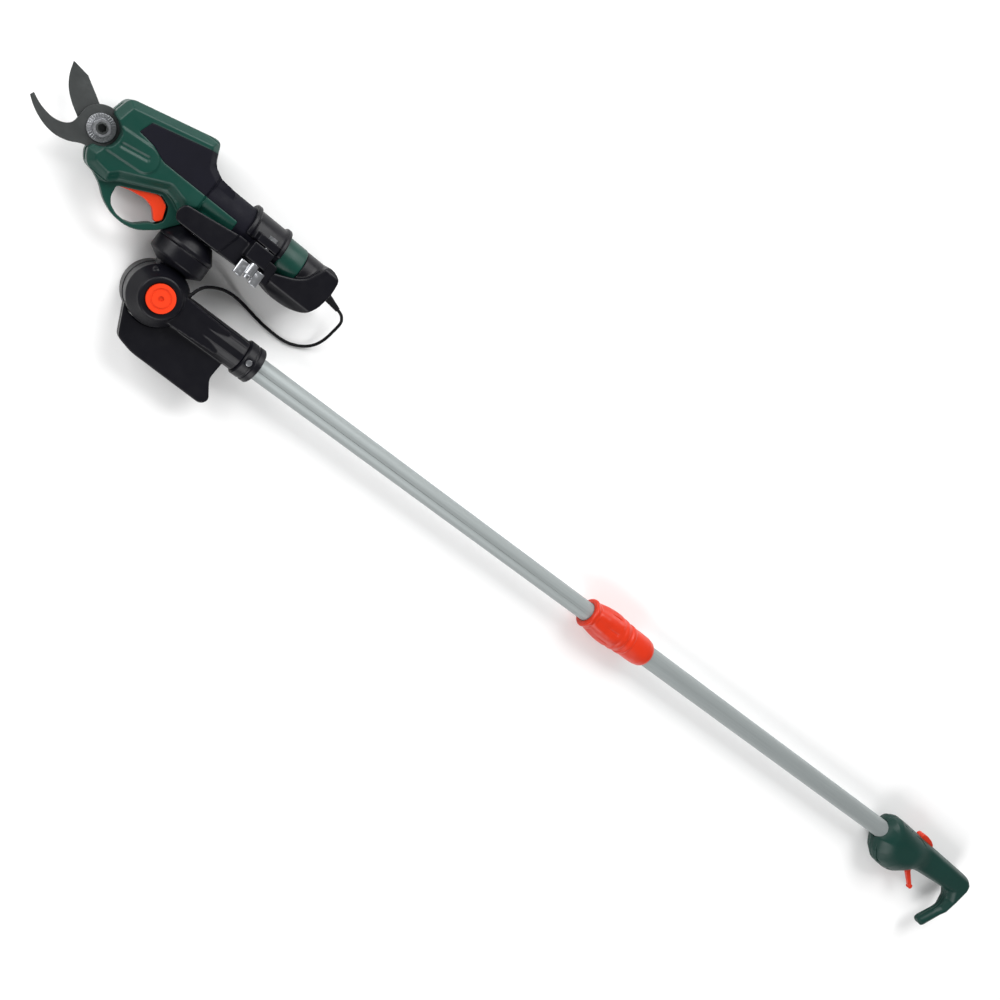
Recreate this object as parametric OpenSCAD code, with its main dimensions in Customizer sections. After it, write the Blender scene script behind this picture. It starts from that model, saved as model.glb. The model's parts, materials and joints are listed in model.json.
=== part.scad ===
// Telescopic pole with a cordless bypass secateur in a tilting cradle.
// The tool lies on its side: +X runs along the pole from the head to the handle,
// +Y from the pole towards the secateur, +Z along the head hinge.
// The origin is on the hinge line, on the flat outer face of the far hinge cheek.

/* [Pole] */
// Outer diameter of the upper, sliding tube
upper_d = 22; // [20:0.5:22]
// Outer diameter of the lower tube
lower_d = 25; // [25:0.5:27]
// Wall of both tubes
tube_wall = 1.2; // [1:0.1:1.2]
// Head end of the twist lock, from the hinge line
lock_x = 582; // [560:1:600]
// Handle end of the lower tube, from the hinge line
tube_end = 1236; // [1230:1:1236]

/* [Head] */
// Height of the middle plane of the whole tool over its rest face
mid_z = 27; // [27:0.5:29]
// Radius of the two hinge cheeks
cheek_r = 28; // [27:0.5:28]
// Thickness of the knuckle between the cheeks
knuckle_t = 18; // [16:0.5:19]
// Diameter of the release button
button_d = 26; // [22:0.5:27]
// Travel of the release button
button_travel = 4; // [2:0.5:4]
// Outer diameter of the tube socket
socket_d = 32; // [30:0.5:33]
// Thickness of the branch hook plate
hook_t = 14; // [10:1:16]

/* [Turret] */
// Largest diameter of the turret under the cradle
turret_d = 53; // [50:1:54]
// Distance of the turret line behind the hinge line
turret_x = -3; // [-4:0.5:0]

/* [Secateur] */
// Thickness of the secateur body
body_t = 46; // [40:1:48]
// Diameter of the secateur grip
grip_d = 40; // [38:1:41]
// Thickness of the trigger guard
guard_t = 14; // [13:1:16]
// Depth of the soft inlays
rubber_t = 1.6; // [1:0.1:2]
// Thickness of the cutting blade and of the counter blade
blade_t = 3; // [2.5:0.1:3.3]

/* [Drive] */
// Module of the blade drive teeth
tooth_m = 1.5; // [1.5]
// Teeth that a full blade gear would have
blade_teeth = 30; // [30]
// Teeth of the drive pinion
pinion_teeth = 12; // [12]

/* [Cable] */
// Diameter of the connecting cable
cable_d = 3; // [2.5:0.1:3.5]

/* [Handle] */
// Thickness of the egg-shaped front of the handle
dome_t = 54; // [48:1:54]
// Thickness of the handle grip
handle_t = 34; // [30:1:36]

/* [Hidden] */
$fn = 48;

green = [0.08, 0.24, 0.19];
black = [0.09, 0.09, 0.11];
orange = [0.91, 0.24, 0.08];
steel = [0.45, 0.46, 0.48];
silver = [0.7, 0.7, 0.72];
alloy = [0.62, 0.66, 0.66];
board = [0.1, 0.35, 0.2];

clear = 0.3;         // gap between pieces that move past each other
run = 0.05;          // radial clearance of a pin in its bore
seat = 0.02;         // radial clearance of a fixed piece in its bore
big = 400;           // reaches past any piece

upper_r = upper_d / 2;
lower_r = lower_d / 2;
upper_bore = upper_r - tube_wall;
lower_bore = lower_r - tube_wall;
socket_r = socket_d / 2;
gap_h = knuckle_t / 2 + clear;
cheek_top = 24;      // near cheek face over the middle plane
button_top = 28;
button_h = 11.4;
cone_start = 12;     // the near cheek narrows from here up to its face
cone_r = 19.5;
pin_r = 5;
socket_end = 93;
ring_end = 111;
upper_start = 36;
upper_end = 790;

grip_y = 94;
grip_r = grip_d / 2;
grip_end = 84;
cap_end = 103;
pivot = [-118, 84.3];
plate_gap = 0.1;     // half the gap between blade and counter blade
slot_h = blade_t + 0.9;
gear_r = tooth_m * blade_teeth / 2;
pinion_r = tooth_m * pinion_teeth / 2;
mesh_angle = 31;
pinion_at = pivot + (gear_r + pinion_r) * [cos(mesh_angle), sin(mesh_angle)];
pinion_phase = mesh_angle + 180 + 180 / pinion_teeth;   // a gap faces the blade gear
trigger_at = [-73.6, 60.2];
bolt_r = 5;          // pivot bolt
bolt_x = 46;
bolt_dz = 29;
strap_t = 2.4;
strap_x = [24, 62];
lug_x = [33, 54];
lug_y = [74, 90.3, 91.1, 99];   // cradle lug, then the strap lug
flap_t = 2.5;        // cheeks of the cradle that lie on the secateur body
wing_room = 13.2;    // radius kept free round the wing nut
lever_at = [1288, -14];
lock_l = 57;         // length of the lock nut
plug_end = 122.5;
relief_turn = -12;
relief_l = 19;
relief_dir = [cos(relief_turn), sin(relief_turn), 0];
relief_base = [plug_end, 93, mid_z];
cable_end = relief_base + (relief_l + 0.1) * relief_dir;
grommet_at = [18.2, 11, mid_z + 13];
grommet_turn = 65;
peg_at = [-16.5, 18.2];

// Places of the casing screws, as [x, y]; their heads are on the far side
secateur_screw_points = [[-96, 56], [-109, 110.5], [-33, 78], [-24, 106]];
head_screw_points = [[2, -42], [76, -44], [34, -24], [78, -24]];
handle_screw_points = [[1212, -27], [1258, -30], [1345, 4], [1397, -5]];

// Outlines in the middle plane, as [x, y]
body_outline = [
    [-104, 78], [-103.5, 92], [-112, 98], [-119, 100], [-115, 118.6], [-76, 129], [-37, 139.4],
    [-33, 130], [-28.5, 120], [-17, 114], [0, 113], [0, 75], [-17, 74.5], [-29, 68],
    [-36, 73], [-48, 76], [-84, 58.5], [-92, 50], [-112, 53], [-119, 64], [-116, 71]
];
guard_outline = [
    [-112, 56], [-92, 46], [-85, 39], [-72, 32.5], [-59, 31], [-47, 34], [-32, 46],
    [-20, 62], [-12, 76], [-30, 90], [-100, 90]
];
guard_hole = [
    [-81.5, 54], [-80, 44], [-76, 38.5], [-68.5, 35], [-60, 34.4], [-52, 37], [-46, 43],
    [-41, 47.2], [-38, 47.6], [-33.6, 54.3], [-35, 61], [-38, 67.2], [-47.5, 71.2]
];
trigger_pocket = [
    [-83, 53], [-83, 66], [-76, 71], [-52, 78], [-36, 76.5], [-30, 68], [-30, 54],
    [-37, 47], [-46, 52], [-60, 56]
];
trigger_outline = [
    [-80.7, 54.5], [-79, 61.5], [-72, 65.4], [-47.5, 70.4], [-38.9, 66.5], [-34.4, 54.4],
    [-39.2, 48.8], [-43, 53], [-47, 57.5], [-53, 59.7], [-58.5, 60], [-71, 57.8]
];
soft_region = [
    [-95, 101], [-91, 113.4], [-38.1, 128], [-28, 130], [-10, 124], [62, 124], [62, 64],
    [14.5, 64], [14.5, 84], [13.5, 93.8], [-64, 93.8], [-70, 95.5], [-78.7, 99.2], [-88, 100.6]
];
blade_edge = [
    [-118, 71], [-128, 73], [-137.3, 79.6], [-145.2, 84.6], [-152.1, 90.1], [-157.7, 96.6],
    [-161.8, 104.4], [-164.6, 113.6]
];
blade_back = [[-149.6, 111.6], [-138, 104.5], [-126, 97], [-118, 97], [-106, 90], [-106, 80]];
counter_inner = [
    [-174.2, 73.2], [-167.7, 69.9], [-161, 67.7], [-151.9, 66.5], [-143.1, 68.8],
    [-138.2, 73.6], [-137, 80.5]
];
counter_outer = [
    [-112, 66.4], [-122.7, 63.9], [-132, 58.9], [-141.9, 56.4], [-151.8, 57.1], [-161.3, 60.3],
    [-169.4, 64.8], [-175.6, 69.8]
];
counter_root = [[-118, 90], [-106, 84], [-106, 70]];
counter_boss_r = 19;
cradle_outline = [
    [-21, 79], [-22, 61.5], [15, 61.5], [66, 63.5], [66, 84], [62, 84], [24, 86], [12, 84]
];
flap_outline = [[-30.5, 78], [-34, 70], [-30, 61.6], [15, 61.6], [21.5, 85.5]];
cup_outline = [
    [60, 66], [70, 62.5], [80, 60.2], [92, 60], [101, 61.5], [111, 66], [117.5, 78], [120, 94],
    [118.5, 109], [112, 113.6], [103, 114.2], [100, 108], [93, 93], [84, 86], [70, 80], [60, 76]
];
hook_outline = [
    [-20, -19], [-5, -50], [12, -54.5], [50, -55.8], [89, -57], [94, -50], [86, -39],
    [82, -33], [83, -12], [40, 0], [0, 0]
];
handle_outline = [
    [1190, -12], [1191.5, 12], [1197, 22.5], [1209, 27.2], [1399, 17.5], [1408, 12], [1411, 2],
    [1410, -42], [1385, -79], [1372, -75], [1371, -70], [1394, -39], [1393.5, -25], [1384, -14.5],
    [1305, -17.5], [1288, -20], [1273, -31], [1258, -39], [1240, -41.2], [1216, -39], [1202, -30]
];
dome_outline = [
    [1190, -10], [1192, 10], [1198, 19], [1212, 23.5], [1262, 21], [1284, 10], [1292, -6],
    [1284, -20], [1270, -31], [1252, -38], [1218, -37], [1203, -27]
];
lever_plate = [[1282, -17.6], [1283, -9], [1293, -8.5], [1318, -11], [1317, -14], [1296, -16.4]];
lever_finger = [[1284, -18], [1290, -28], [1314, -43], [1317, -39], [1296, -23], [1292, -16]];
slider_outline = [
    [1266, 20], [1266, 27], [1270, 30.4], [1278, 30], [1288, 28], [1295, 25.4], [1298, 22], [1298, 20]
];
// Route of the connecting cable, as [x, y, z], from the head to the secateur tail
cable_route = [
    [20.9, 16.8, 40], [22.2, 19.7, 40], [23.4, 23.2, 39.2], [25.8, 27.2, 36.4], [29.5, 30.8, 32],
    [34.5, 33.8, 27], [40.5, 36.5, 21.5], [47.5, 38.8, 16], [55, 40, 11], [62.5, 40.3, 7],
    [70.5, 39.8, 4], [79, 38.6, 2.3], [90, 36.8, 1.6], [101, 35.4, 1.6], [112, 34.8, 1.6],
    [122, 34.9, 1.6], [131, 36.3, 1.6], [139.5, 39.6, 1.9], [146.5, 44.4, 3.2], [151.2, 50.5, 6.1],
    [153.4, 57.5, 10], [153.9, 64.7, 14.2], [153.5, 71.6, 18.2], [152.91, 78.5, 22.26],
    [151.46, 82.96, 24.71], [147.97, 86.57, 26.4], [144.1, 88.4, 27]
];

// Rounded polygon: every corner becomes a short curve that starts r before it
function toward(a, b, r) = a + (b - a) * min(r / norm(b - a), 0.49);
function bend(p, v, q, n) = [
    for (i = [0:n]) let (t = i / n) (1 - t) ^ 2 * p + 2 * t * (1 - t) * v + t ^ 2 * q
];
function soft(pts, r = 4, n = 3) = let (c = len(pts)) [
    for (i = [0:c - 1])
        each bend(toward(pts[i], pts[(i + c - 1) % c], r), pts[i], toward(pts[i], pts[(i + 1) % c], r), n)
];

// Tube around a route: one ring of corners at each point, square to the route there
function along(p, i) = let (c = len(p), d = p[min(i + 1, c - 1)] - p[max(i - 1, 0)]) d / norm(d);
function ring(c, d, r, k) = let (
    s = cross([0, 0, 1], d) / norm(cross([0, 0, 1], d)),
    u = cross(d, s)
) [for (j = [0:k - 1]) c + r * (cos(360 * j / k) * s + sin(360 * j / k) * u)];
// Points between the route's own, on a Catmull-Rom curve
function spline(p, n) = let (c = len(p)) [
    for (i = [0:c - 2]) let (
        a = p[max(i - 1, 0)], b = p[i], d = p[i + 1], e = p[min(i + 2, c - 1)]
    )
        for (j = [0:n - 1]) let (t = j / n)
            0.5 * (2 * b + (d - a) * t + (2 * a - 5 * b + 4 * d - e) * t ^ 2
                + (3 * b - a - 3 * d + e) * t ^ 3),
    p[c - 1]
];

// Round bar of radius r with k sides along the points
module swept(pts, r, k) {
    n = len(pts);
    polyhedron(
        points = [for (i = [0:n - 1]) each ring(pts[i], along(pts, i), r, k)],
        faces = concat(
            [[for (j = [k - 1:-1:0]) j]],
            [for (i = [0:n - 2], j = [0:k - 1]) [i * k + j, i * k + (j + 1) % k, (i + 1) * k + j]],
            [for (i = [0:n - 2], j = [0:k - 1])
                [i * k + (j + 1) % k, (i + 1) * k + (j + 1) % k, (i + 1) * k + j]],
            [[for (j = [0:k - 1]) (n - 1) * k + j]]
        ),
        convexity = 8
    );
}

module plate(points, z0, z1) {
    translate([0, 0, mid_z + z0])
        linear_extrude(z1 - z0)
            polygon(points);
}

module rod_x(x0, x1, r, y = 0, dz = 0) {
    translate([x0, y, mid_z + dz])
        rotate([0, 90, 0])
            cylinder(r = r, h = x1 - x0);
}

module rod_y(y0, y1, r, x, dz = 0) {
    translate([x, y0, mid_z + dz])
        rotate([-90, 0, 0])
            cylinder(r = r, h = y1 - y0);
}

module rod_z(z0, z1, r, x = 0, y = 0) {
    translate([x, y, mid_z + z0])
        cylinder(r = r, h = z1 - z0);
}

module lathe_x(profile, x0) {
    translate([x0, 0, mid_z])
        rotate([0, 90, 0])
            rotate_extrude()
                polygon(profile);
}

module near_side() {
    intersection() {
        children();
        translate([-big, -big, mid_z]) cube([6 * big, 2 * big, big]);
    }
}

module far_side() {
    intersection() {
        children();
        translate([-big, -big, mid_z - big]) cube([6 * big, 2 * big, big]);
    }
}

module screw(length, head_r, shank_r, head_h) {
    difference() {
        union() {
            cylinder(r = head_r, h = head_h);
            translate([0, 0, head_h - length]) cylinder(r = shank_r, h = length - head_h);
        }
        translate([0, 0, head_h / 2]) cylinder(r = head_r / 2, h = head_h, $fn = 6);
    }
}

module coil_spring(r, wire, length, turns) {
    steps = 10;
    swept([
        for (i = [0:steps * turns])
            [
                r * cos(360 * i / steps),
                r * sin(360 * i / steps),
                wire + (length - 2 * wire) * i / (steps * turns)
            ]
    ], wire, 6);
}

// Gear outline with straight flanks; from and count choose its teeth
function tooth(a, pitch_r) = let (
    tip = 1.15, root = 1.45, half = 1.0, slope = tan(20),
    tip_r = pitch_r + tip, root_r = pitch_r - root,
    ta = (half - tip * slope) / tip_r * 180 / PI,
    ra = (half + root * slope) / root_r * 180 / PI
) [
    root_r * [cos(a - ra), sin(a - ra)], tip_r * [cos(a - ta), sin(a - ta)],
    tip_r * [cos(a + ta), sin(a + ta)], root_r * [cos(a + ra), sin(a + ra)]
];
function gear(teeth, pitch_r, phase, first, last) = [
    for (i = [first:last]) each tooth(phase + 360 * i / teeth, pitch_r)
];

// ---- Secateur ----
module body_solid(e) {
    half = body_t / 2 - e;
    plate(soft(body_outline, 5), -half + 7, half - 7);
    intersection() {
        plate(soft(body_outline, 5), -half, half);
        translate([-70, 96, mid_z]) scale([1.18, 1, 1]) rotate([90, 0, 0])
            cylinder(r = 47 - e, h = 160, center = true, $fn = 64);
        translate([0, 94, mid_z]) rotate([0, 90, 0])
            cylinder(r = 47 - e, h = 500, center = true, $fn = 64);
    }
    rod_x(-30, grip_end, grip_r - e, grip_y);
}

module secateur_solid() {
    body_solid(0);
    plate(soft(guard_outline, 6), -guard_t / 2, guard_t / 2);
}

module bays() {
    // finger gap and trigger pocket
    plate(soft(guard_hole, 2), -big, big);
    plate(trigger_pocket, -5.4, 5.4);
    // slot for the blades and room round the pivot
    rod_z(-big, big, 14.6, pivot.x, pivot.y);
    plate([[-130, 56], [-97, 56], [-97, 70], [-90, 70], [-90, 88], [-104, 112], [-130, 112]],
        -slot_h, slot_h);
    rod_z(-slot_h, slot_h, pinion_r + 2.4, pinion_at.x, pinion_at.y);
    rod_z(-slot_h, slot_h, gear_r + 2.2, pivot.x, pivot.y);
    // right-angle gearbox, motor, board and switch
    plate([[-105, 89], [-105, 115], [-77, 115], [-77, 89]], -18, -slot_h + 0.5);
    rod_x(-79.5, -38, 14.2, 108);
    plate([[-74, 122], [-74, 125.9], [-41, 125.9], [-41, 115]], -12.5, 12.5);
    plate([[-62, 75.8], [-62, 86.2], [-43, 86.2], [-43, 75.8]], -3.4, 3.4);
    rod_y(66, 77.4, 3, -64.6);
    // battery and tail socket
    rod_x(-30, 75, 9.4, grip_y);
    rod_x(75, grip_end + 1, 8, grip_y);
}

// Room for a screw whose head stands open on the far side
module far_screw_room(p, head_dz, room_r, depth) {
    rod_z(-big, head_dz, room_r, p.x, p.y);
    rod_z(head_dz - 1, head_dz + depth, 1.5, p.x, p.y);
}

// A screw of the given length, with its head on the far side
module far_screw(p, head_dz, length) {
    translate([p.x, p.y, mid_z + head_dz])
        mirror([0, 0, 1])
            screw(length, 3, 1.45, 2.2);
}

module secateur_screw_rooms() {
    for (p = secateur_screw_points)
        far_screw_room(p, -13.5, 3.2, 21);
}

module secateur_shell() {
    difference() {
        secateur_solid();
        soft_skin();
        bays();
        secateur_screw_rooms();
        rod_z(-6.4, 6.4, 2, trigger_at.x, trigger_at.y);
    }
}

module soft_skin() {
    difference() {
        intersection() {
            body_solid(0);
            plate(soft_region, -big, big);
        }
        body_solid(rubber_t);
    }
}

module secateur_shell_near() { color(green) near_side() secateur_shell(); }
module secateur_shell_far() { color(green) far_side() secateur_shell(); }
module overmould_near() { color(black) near_side() overmould(); }
module overmould_far() { color(black) far_side() overmould(); }
module overmould() {
    difference() {
        soft_skin();
        secateur_screw_rooms();
    }
}

module secateur_screws() {
    color(steel)
        for (p = secateur_screw_points)
            far_screw(p, -13.5, 22);
}

module cutting_blade() {
    color(steel)
        difference() {
            union() {
                plate(concat(spline(blade_edge, 3), blade_back), -plate_gap - blade_t, -plate_gap);
                plate([for (p = concat([[0, 0]], gear(blade_teeth, gear_r, mesh_angle, -5, 1))) p + pivot],
                    -plate_gap - blade_t, -plate_gap);
            }
            rod_z(-big, big, bolt_r + run, pivot.x, pivot.y);
        }
}

module counter_blade() {
    color(steel)
        difference() {
            union() {
                plate(concat(spline(counter_inner, 3), counter_root, spline(counter_outer, 3)),
                    plate_gap, plate_gap + blade_t);
                rod_z(plate_gap, plate_gap + blade_t, counter_boss_r, pivot.x, pivot.y);
            }
            rod_z(-big, big, bolt_r, pivot.x, pivot.y);
        }
}

module pivot_bolt() {
    color(silver)
        difference() {
            union() {
                rod_z(-5, 10.2, bolt_r, pivot.x, pivot.y);
                rod_z(-8.5, -blade_t - 2 * plate_gap, 8, pivot.x, pivot.y);
            }
            translate([pivot.x, pivot.y, mid_z + 3]) cylinder(r = 3.9, h = 8, $fn = 6);
        }
}

module pivot_washer() {
    color(silver)
        difference() {
            union() {
                rod_z(blade_t + plate_gap, 4.7, 12, pivot.x, pivot.y);
                for (a = [0:12:348])
                    translate([pivot.x, pivot.y, mid_z + 4.6])
                        rotate(a) translate([8.4, -0.4, 0]) cube([3.2, 0.8, 0.4]);
            }
            rod_z(-big, big, bolt_r, pivot.x, pivot.y);
        }
}

module pivot_nut() {
    color(silver)
        difference() {
            intersection() {
                translate([pivot.x, pivot.y, mid_z + 4.7]) cylinder(r = 8.2, h = 5.1, $fn = 6);
                rod_z(4.7, 9.8, 7.6, pivot.x, pivot.y);
            }
            rod_z(-big, big, bolt_r, pivot.x, pivot.y);
        }
}

module trigger() {
    color(orange)
        difference() {
            plate(soft(trigger_outline, 2), -5, 5);
            rod_z(-big, big, 2 + run, trigger_at.x, trigger_at.y);
        }
}
module trigger_pin() { color(silver) rod_z(-6.4, 6.4, 2, trigger_at.x, trigger_at.y); }
module trigger_spring() {
    color(silver) translate([-64.6, 67.6, mid_z]) rotate([-90, 0, 0]) coil_spring(2.3, 0.35, 9.6, 5);
}
module trigger_switch() {
    color(black) {
        plate([[-61, 77], [-61, 86], [-44, 86], [-44, 77]], -3.2, 3.2);
        rod_y(75.6, 77, 1.2, -49);
    }
}

module gear_motor() {
    color(steel) {
        rod_x(-75, -43, 14, 108);
        rod_x(-43, -39, 4, 108);
    }
}
module angle_gearbox() {
    color(silver)
        difference() {
            union() {
                plate([[-104, 90], [-104, 114], [-78, 114], [-78, 90]], -17.5, -slot_h);
                rod_x(-79, -75, 13.5, 108);
            }
            rod_z(-big, big, 3 + run, pinion_at.x, pinion_at.y);
            rod_z(-slot_h, big, pinion_r + 2, pinion_at.x, pinion_at.y);
        }
}
module drive_pinion() {
    color(steel) {
        rod_z(-14, -0.1, 3, pinion_at.x, pinion_at.y);
        plate([
            for (p = gear(pinion_teeth, pinion_r, pinion_phase, 0, pinion_teeth - 1))
                p + pinion_at
        ], -blade_t - plate_gap, -plate_gap);
    }
}
module battery_cells() {
    color(silver)
        for (x = [-29, 22.5]) {
            rod_x(x, x + 50, 9.2, grip_y);
            rod_x(x + 50, x + 51.2, 3, grip_y);
        }
}
module control_board() {
    color(board) {
        plate([[-72, 124], [-72, 125.6], [-43, 125.6], [-43, 124]], -12, 12);
        plate([[-66, 122.6], [-66, 124], [-58, 124], [-58, 122.6]], 4, 10);
    }
}
module tail_socket() {
    color(black)
        difference() {
            rod_x(75.5, grip_end, 7.9, grip_y);
            rod_x(78, grip_end + 1, 5, grip_y);
        }
}

// ---- Cradle ----
// Block beside the grip that the strap bolt passes through
module lug(y0, y1) {
    translate([lug_x[0], y0, mid_z + 19])
        cube([lug_x[1] - lug_x[0], y1 - y0, bolt_dz - 14]);
}
module cradle() {
    color(black)
        difference() {
            union() {
                plate(soft(cradle_outline, 3), -23.5, 23.5);
                for (dz = [-flap_t - body_t / 2, body_t / 2 + seat])
                    plate(soft(flap_outline, 3), dz, dz + flap_t - seat);
                lug(lug_y[0], lug_y[1]);
            }
            rod_x(-big, big, grip_r + seat, grip_y);
            plate(soft(body_outline, 5), -body_t / 2 - seat, body_t / 2 + seat);
            plate(soft(guard_outline, 6), -guard_t / 2 - seat, guard_t / 2 + seat);
            rod_y(60, 95, 2.5 + seat, bolt_x, bolt_dz);
            rod_y(40, lug_y[0], wing_room, bolt_x, bolt_dz);
            rod_y(40, 67, 5 + seat, turret_x);
            rod_y(66, 80, 8 + seat, turret_x);
        }
}

module strap() {
    color(black)
        difference() {
            union() {
                intersection() {
                    union() {
                        rod_x(strap_x[0], strap_x[1], grip_r + strap_t, grip_y);
                        for (x = [strap_x[0], strap_x[1] - 4.5])
                            rod_x(x, x + 4.5, grip_r + strap_t + 2.2, grip_y);
                    }
                    translate([0, lug_y[2], mid_z - 60]) cube([100, 60, 120]);
                }
                lug(lug_y[2], lug_y[3]);
            }
            rod_x(-big, big, grip_r + seat, grip_y);
            rod_y(60, 130, 2.5 + seat, bolt_x, bolt_dz);
        }
}
module strap_bolt() {
    color(silver) {
        rod_y(59, lug_y[3], 2.5, bolt_x, bolt_dz);
        translate([bolt_x, lug_y[3], mid_z + bolt_dz])
            rotate([-90, 0, 0])
                cylinder(r = 4.6, h = 3.2, $fn = 6);
    }
}
module wing_nut() {
    color(silver)
        difference() {
            union() {
                rod_y(62, lug_y[0], 4.4, bolt_x, bolt_dz);
                for (s = [-1, 1])
                    translate([bolt_x + s * 8.4, 57, mid_z + bolt_dz])
                        rotate([-90, 0, 0])
                            scale([1, 0.45, 1]) cylinder(r = 4.4, h = 14);
            }
            rod_y(40, 80, 2.5 + run, bolt_x, bolt_dz);
        }
}
module tail_cup() {
    color(black)
        difference() {
            union() {
                intersection() {
                    plate(soft(cup_outline, 4), -24, 24);
                    rod_x(0, 300, 31, grip_y - 4);
                }
                rod_x(grip_end + 0.2, cap_end, grip_r - 0.4, grip_y);
            }
            rod_x(-big, grip_end + 0.2, grip_r + seat, grip_y);
            plate(soft(cradle_outline, 3), -23.52, 23.52);
            rod_x(0, 200, 6.5, grip_y);
        }
}
module remote_plug() {
    color(black) {
        rod_x(79, 100, 4.9, grip_y);
        rod_x(100, plug_end, 6.4, grip_y);
    }
}
module strain_relief() {
    color(black)
        difference() {
            translate(relief_base)
                rotate([0, 90, relief_turn])
                    translate([0, 0, -2]) cylinder(r1 = 4.6, r2 = 2.3, h = relief_l + 2);
            translate([plug_end - 20, grip_y - 20, 0]) cube([20, 40, 60]);
        }
}

module connecting_cable() {
    color(black)
        swept(spline(concat(cable_route, [cable_end]), 3), cable_d / 2, 8);
}

// ---- Turret and knuckle ----
module turret_profile(y0, y1) {
    translate([turret_x, 0, mid_z])
        rotate([-90, 0, 0])
            intersection() {
                rotate_extrude()
                    polygon([[0, 24], [15, 24], [15, 26], [turret_d / 2, 32.5], [turret_d / 2, 49.5],
                        [18.3, 61], [0, 61]]);
                translate([-big, -big, y0]) cube([2 * big, 2 * big, y1 - y0]);
            }
}
module turret_cap() {
    color(black)
        difference() {
            turret_profile(46, 61.5);
            rod_y(40, 70, 5 + seat, turret_x);
            plate(soft(guard_outline, 6), -guard_t / 2 - clear, guard_t / 2 + clear);
        }
}
module turret_bolt() {
    color(steel) {
        rod_y(36, 66, 5, turret_x);
        rod_y(66, 70.5, 8, turret_x);
    }
}
module knuckle() {
    color(black)
        difference() {
            union() {
                rod_z(-knuckle_t / 2, knuckle_t / 2, cheek_r - 0.6);
                difference() {
                    union() {
                        turret_profile(24, 46);
                        translate([turret_x - 13, 10, mid_z - knuckle_t / 2]) cube([26, 20, knuckle_t]);
                    }
                    rod_z(knuckle_t / 2, big, cheek_r + 0.4);
                    rod_z(-big, -knuckle_t / 2, cheek_r + 0.4);
                }
            }
            rod_z(-big, big, pin_r + run);
            rod_z(knuckle_t / 2 - 2.2, big, 19.05);
            rod_y(35, 50, 5 + seat, turret_x);
        }
}
module detent_ring() {
    color(steel)
        difference() {
            union() {
                rod_z(knuckle_t / 2 - 2.2, knuckle_t / 2 - 0.6, 19);
                for (a = [0:15:345])
                    translate([0, 0, mid_z + knuckle_t / 2 - 0.6])
                        rotate(a) translate([13, -0.8, 0]) cube([5, 1.6, 0.6]);
            }
            rod_z(-big, big, 12);
        }
}

// ---- Head ----
module head_solid() {
    rod_z(-mid_z, cone_start, cheek_r);
    // near cheek: a cone up to the raised ring round the button
    translate([0, 0, mid_z])
        rotate_extrude()
            polygon([
                [0, cone_start - 1], [cheek_r, cone_start - 1], [cheek_r, cone_start], [cone_r, cheek_top],
                [cone_r, cheek_top + 0.6], [cone_r - 1.4, cheek_top + 2], [0, cheek_top + 2]
            ]);
    rod_z(cone_start - 4, cone_start + 6.5, 2.2, peg_at.x, peg_at.y);
    rod_x(0, socket_end, socket_r);
    intersection() {
        plate([[0, -15.5], [0, 15.5], [70, 12], [70, -12]], -mid_z, cheek_top);
        wedge();
    }
    plate(soft(hook_outline, 4), -hook_t / 2, hook_t / 2);
    for (a = [-48, 0, 48, 180])
        translate([0, 0, mid_z]) rotate([a, 0, 0])
            translate([34, -3.5, socket_r - 1.6]) cube([socket_end - 35, 7, 2]);
}
// Slopes the block between the cheeks and the socket down to the socket's radius
module wedge() {
    translate([0, -60, mid_z])
        rotate([-90, 0, 0])
            linear_extrude(120)
                polygon([[0, mid_z], [20, 24], [70, 14], [70, -14], [16, -20], [0, -cheek_top]]);
}
module head_shell() {
    difference() {
        head_solid();
        // knuckle room
        rod_z(-gap_h, gap_h, cheek_r + clear);
        // button and hinge pin
        rod_z(button_top - button_h - button_travel - clear, big, button_d / 2 + run);
        rod_z(-big, big, pin_r);
        rod_z(-mid_z - 1, -mid_z + 6, 9 + seat);
        // upper tube, cable way and grommet
        rod_x(upper_start, big, upper_r + seat);
        rod_x(30, upper_start + 1, 8);
        translate(grommet_at) rotate([0, 90, grommet_turn]) cylinder(r = 3 + seat, h = 40);
        translate(grommet_at) rotate([0, 114, -26]) cylinder(r = 2.6, h = 20);
        for (p = head_screw_points)
            far_screw_room(p, -4.4, 3.2, 9);
    }
}
module head_shell_near() { color(black) near_side() head_shell(); }
module head_shell_far() { color(black) far_side() head_shell(); }
module hinge_pin() {
    color(steel) {
        rod_z(-mid_z + 6, gap_h + 4.6, pin_r);
        rod_z(-mid_z + 1.5, -mid_z + 6, 9);
    }
}
module release_button() {
    color(orange)
        difference() {
            rod_z(button_top - button_h, button_top, button_d / 2);
            rod_z(button_top - 1.6, big, 2.6);
            rod_z(button_top - button_h - 1, button_top - 4, 8);
            difference() {
                rod_z(button_top - 0.6, big, 9.4);
                rod_z(0, big, 7.8);
            }
        }
}
module button_spring() {
    color(silver) translate([0, 0, mid_z + gap_h + 3.4]) coil_spring(6.8, 0.45, 11.4, 4);
}
module head_screws() {
    color(steel)
        for (p = head_screw_points)
            far_screw(p, -4.4, 10);
}
module cable_grommet() {
    color(black)
        translate(grommet_at) rotate([0, 90, grommet_turn])
            difference() {
                union() {
                    cylinder(r = 3, h = 4);
                    translate([0, 0, 4]) cylinder(r1 = 3, r2 = 2.2, h = 4);
                }
                cylinder(r = 1.6, h = 30, center = true);
            }
}
module socket_ring() {
    color(black)
        difference() {
            lathe_x([
                [upper_r + seat, 0], [16.5, 0], [18, 1.5], [18, 9], [17.2, 9.6], [17.2, 11.4],
                [18, 12], [18, ring_end - socket_end - 1.2], [17, ring_end - socket_end],
                [upper_r + seat, ring_end - socket_end]
            ], socket_end);
            rod_z(0, big, 1.5, socket_end + 6, 0);
            rod_z(16.2, big, 3.4, socket_end + 6, 0);
        }
}
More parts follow.
